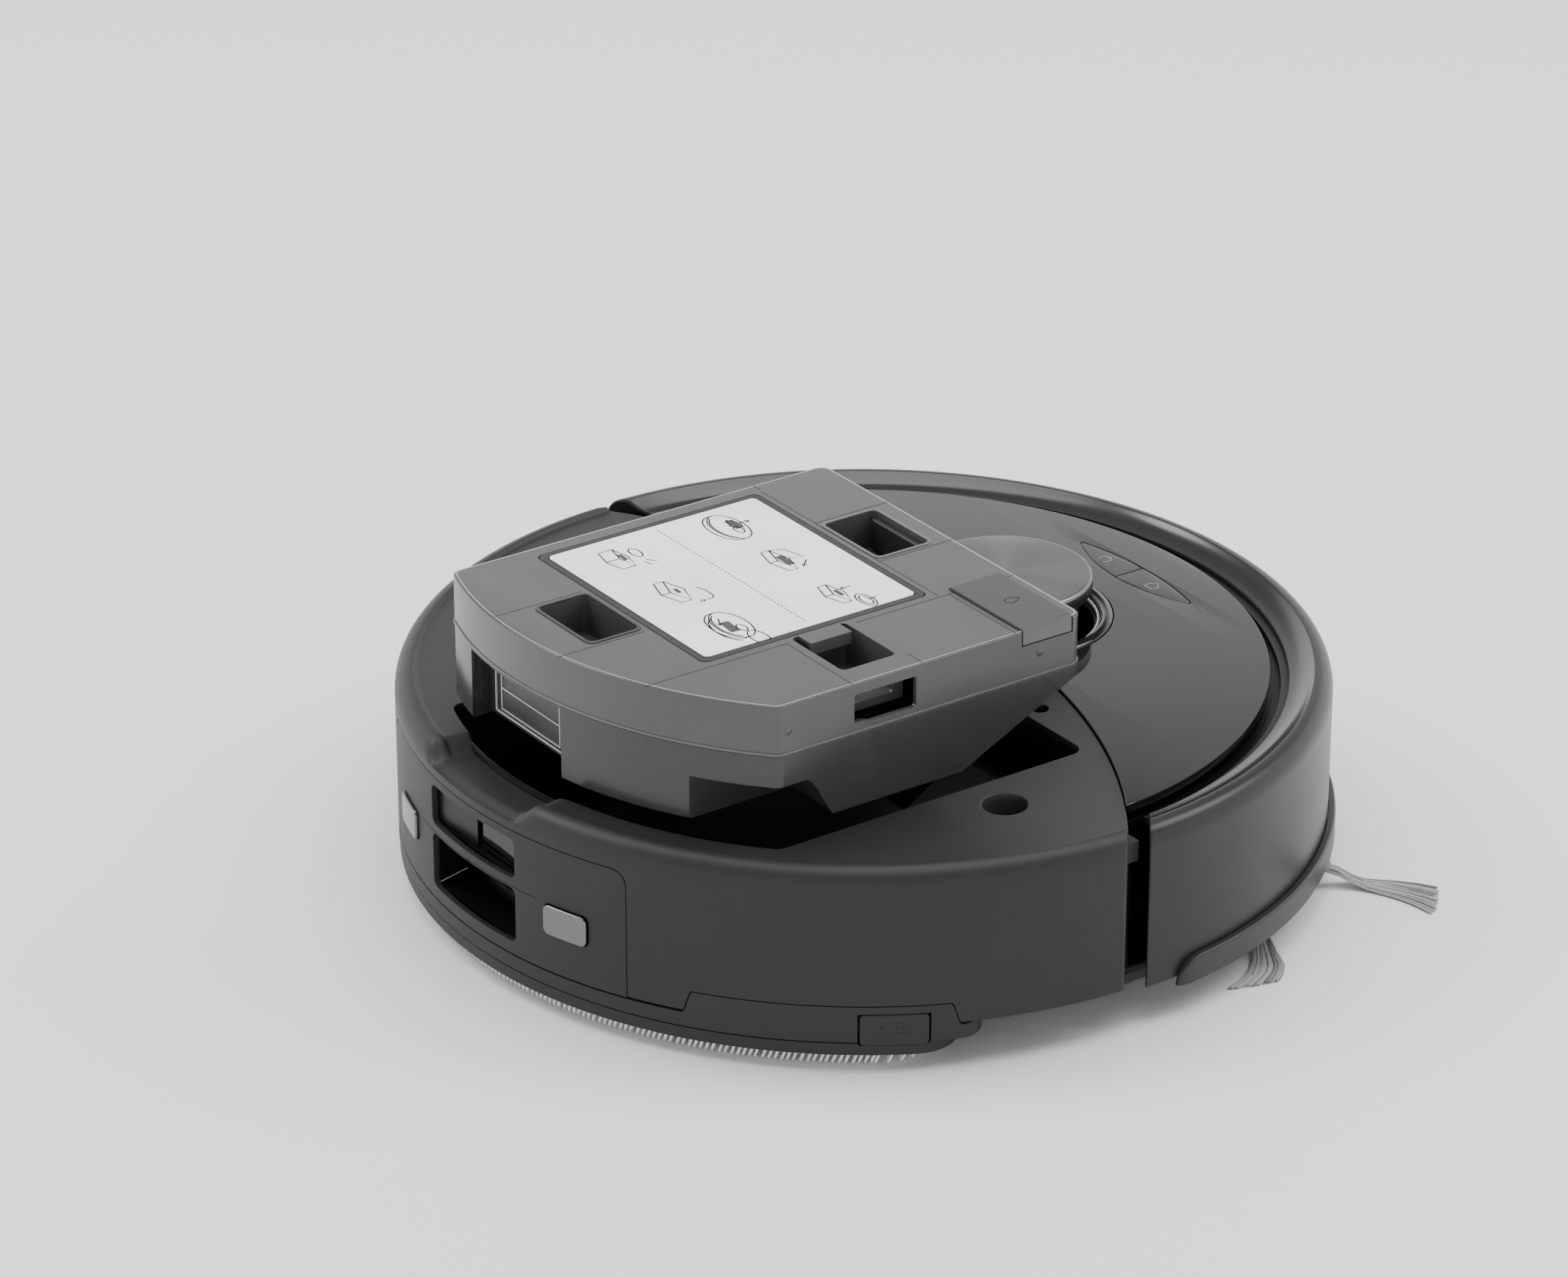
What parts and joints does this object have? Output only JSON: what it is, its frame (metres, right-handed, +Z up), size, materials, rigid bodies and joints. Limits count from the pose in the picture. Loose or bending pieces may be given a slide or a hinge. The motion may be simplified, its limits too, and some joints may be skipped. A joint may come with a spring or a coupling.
{
  "type": "robot vacuum",
  "caption": "Round robot vacuum and mop with laser turret, front bumper, smoked lift-out dust and water bin, side brush and rear mop plate.",
  "frame": {"origin": "on the floor under the middle of the round body", "axes": "+Z up, -Y the direction of travel (front), +X the robot's left side"},
  "size_m": [0.3548, 0.356, 0.134],
  "materials": {
    "shell_matte": "fine satin texture",
    "trim_graphite": "satin",
    "inner_black": "dull black",
    "cover_gloss": "mirror gloss",
    "spun_metal": "spun, radial brush marks",
    "contact_metal": "satin plated",
    "bin_smoke": "translucent smoke",
    "slate": "satin",
    "seal_rubber": "matt",
    "tyre_rubber": "treaded",
    "label_card": "coated card",
    "ivory_plastic": "natural white",
    "bristle": "nylon filament",
    "mop_fabric": "looped microfibre",
    "circuit_board": "solder mask",
    "motor_steel": "bare can"
  },
  "bodies": {
    "chassis": {"chassis_base": "inner_black", "bottom_cover": "shell_matte", "rear_shell": "shell_matte", "bin_bay": "inner_black", "rear_panel": "shell_matte", "charging_contact_left": "contact_metal", "charging_contact_right": "contact_metal", "front_frame": "inner_black", "front_cover": "cover_gloss", "turret_bezel": "trim_graphite", "lidar_mount": "inner_black", "main_board": "circuit_board", "battery_pack": "slate", "fan_housing": "trim_graphite", "brush_motor": "motor_steel", "side_brush_motor": "motor_steel", "brush_housing": "inner_black", "brush_guard": "trim_graphite"},
    "bumper": {"bumper_shell": "shell_matte", "bumper_window": "cover_gloss", "bumper_skirt": "trim_graphite"},
    "lidar_rotor": {"lidar_rotor": "inner_black"},
    "turret_cap": {"turret_cap": "spun_metal"},
    "power_button": {"power_button": "cover_gloss"},
    "home_button": {"home_button": "cover_gloss"},
    "fan_impeller": {"fan_impeller": "ivory_plastic"},
    "bin": {"bin_tank": "bin_smoke", "bin_lid_frame": "bin_smoke", "dust_chamber": "bin_smoke", "dust_filter": "ivory_plastic", "outlet_valve": "ivory_plastic", "port_frame": "slate"},
    "dust_lid": {"dust_lid": "slate", "lid_seal": "seal_rubber", "lid_label": "label_card"},
    "lid_latch": {"lid_latch": "bin_smoke"},
    "water_plug": {"water_plug": "slate"},
    "port_flap": {"port_flap": "trim_graphite"},
    "release_latch_rear": {"release_latch_rear": "trim_graphite"},
    "release_latch_front": {"release_latch_front": "trim_graphite"},
    "suspension_left": {"drive_unit_left": "inner_black"},
    "suspension_right": {"drive_unit_right": "inner_black"},
    "wheel_left": {"wheel_hub_left": "trim_graphite", "tyre_left": "tyre_rubber"},
    "wheel_right": {"wheel_hub_right": "trim_graphite", "tyre_right": "tyre_rubber"},
    "caster_swivel": {"caster_fork": "trim_graphite"},
    "caster_wheel": {"caster_wheel": "tyre_rubber"},
    "main_brush": {"main_brush": "seal_rubber"},
    "side_brush": {"side_brush_hub": "inner_black", "side_brush_bristles": "bristle"},
    "mop": {"mop_bracket": "shell_matte", "mop_pad_plate": "shell_matte", "mop_cloth": "mop_fabric"},
    "mop_button_left": {"mop_button_left": "shell_matte"},
    "mop_button_right": {"mop_button_right": "shell_matte"}
  },
  "joints": [
    {"name": "bumper_press", "type": "slide", "parent": "chassis", "child": "bumper", "axis": [0, 1, 0], "range_m": [0, 0.004], "stiffness_N_per_m": 250, "springref_m": -0.002},
    {"name": "lidar_spin", "type": "hinge", "parent": "chassis", "child": "lidar_rotor", "pos_m": [0, -0.067, 0.062], "axis": [0, 0, 1], "continuous": true},
    {"name": "turret_press", "type": "slide", "parent": "chassis", "child": "turret_cap", "axis": [0, 0, -1], "range_m": [0, 0.0015], "stiffness_N_per_m": 900, "springref_m": -0.002},
    {"name": "power_press", "type": "slide", "parent": "chassis", "child": "power_button", "axis": [0, 0, -1], "range_m": [0, 0.0008], "stiffness_N_per_m": 500, "springref_m": -0.001},
    {"name": "home_press", "type": "slide", "parent": "chassis", "child": "home_button", "axis": [0, 0, -1], "range_m": [0, 0.0008], "stiffness_N_per_m": 500, "springref_m": -0.001},
    {"name": "fan_spin", "type": "hinge", "parent": "chassis", "child": "fan_impeller", "pos_m": [0.096, 0.08, 0.031], "axis": [0, 0, 1], "continuous": true},
    {"name": "bin_lift", "type": "slide", "parent": "chassis", "child": "bin", "axis": [0, 0, 1], "range_m": [-0.054, 0.06]},
    {"name": "lid_hinge", "type": "hinge", "parent": "bin", "child": "dust_lid", "pos_m": [0.047, 0.0645, 0.133], "axis": [0, 1, 0], "range_deg": [0, 100]},
    {"name": "latch_hinge", "type": "hinge", "parent": "bin", "child": "lid_latch", "pos_m": [-0.066, 0.0645, 0.132], "axis": [0, 1, 0], "range_deg": [0, 18], "stiffness_Nm_per_rad": 0.02, "springref_deg": -11.46},
    {"name": "plug_hinge", "type": "hinge", "parent": "bin", "child": "water_plug", "pos_m": [-0.063, -0.00525, 0.133], "axis": [0, 1, 0], "range_deg": [0, 88]},
    {"name": "port_hinge", "type": "hinge", "parent": "bin", "child": "port_flap", "pos_m": [0.001, 0.144, 0.1085], "axis": [1, 0, 0], "range_deg": [-60, 0], "stiffness_Nm_per_rad": 0.003, "springref_deg": 11.46},
    {"name": "rear_pinch", "type": "slide", "parent": "bin", "child": "release_latch_rear", "axis": [0, -1, 0], "range_m": [0, 0.003], "stiffness_N_per_m": 300, "springref_m": -0.002},
    {"name": "front_pinch", "type": "slide", "parent": "bin", "child": "release_latch_front", "axis": [0, 1, 0], "range_m": [0, 0.003], "stiffness_N_per_m": 300, "springref_m": -0.002},
    {"name": "suspension_left", "type": "hinge", "parent": "chassis", "child": "suspension_left", "pos_m": [0.1265, -0.034, 0.04], "axis": [1, 0, 0], "range_deg": [-18, 0], "stiffness_Nm_per_rad": 0.3, "springref_deg": -28.65},
    {"name": "wheel_spin_left", "type": "hinge", "parent": "suspension_left", "child": "wheel_left", "pos_m": [0.1265, 0.012, 0.034], "axis": [1, 0, 0], "continuous": true},
    {"name": "suspension_right", "type": "hinge", "parent": "chassis", "child": "suspension_right", "pos_m": [-0.1265, -0.034, 0.04], "axis": [1, 0, 0], "range_deg": [-18, 0], "stiffness_Nm_per_rad": 0.3, "springref_deg": -28.65},
    {"name": "wheel_spin_right", "type": "hinge", "parent": "suspension_right", "child": "wheel_right", "pos_m": [-0.1265, 0.012, 0.034], "axis": [1, 0, 0], "continuous": true},
    {"name": "caster_turn", "type": "hinge", "parent": "chassis", "child": "caster_swivel", "pos_m": [0, -0.118, 0.03], "axis": [0, 0, 1], "continuous": true},
    {"name": "caster_spin", "type": "hinge", "parent": "caster_swivel", "child": "caster_wheel", "pos_m": [0, -0.115, 0.0138], "axis": [1, 0, 0], "continuous": true},
    {"name": "main_brush_spin", "type": "hinge", "parent": "chassis", "child": "main_brush", "pos_m": [0, -0.026, 0.023], "axis": [1, 0, 0], "continuous": true},
    {"name": "side_brush_spin", "type": "hinge", "parent": "chassis", "child": "side_brush", "pos_m": [-0.103, -0.09, 0.01], "axis": [0, 0, 1], "continuous": true},
    {"name": "mop_slide", "type": "slide", "parent": "chassis", "child": "mop", "axis": [0, 1, 0], "range_m": [0, 0.06]},
    {"name": "mop_press_left", "type": "slide", "parent": "mop", "child": "mop_button_left", "axis": [-0.8517, -0.524, 0], "range_m": [0, 0.002], "stiffness_N_per_m": 500, "springref_m": -0.002},
    {"name": "mop_press_right", "type": "slide", "parent": "mop", "child": "mop_button_right", "axis": [0.8517, -0.524, 0], "range_m": [0, 0.002], "stiffness_N_per_m": 500, "springref_m": -0.002}
  ]
}
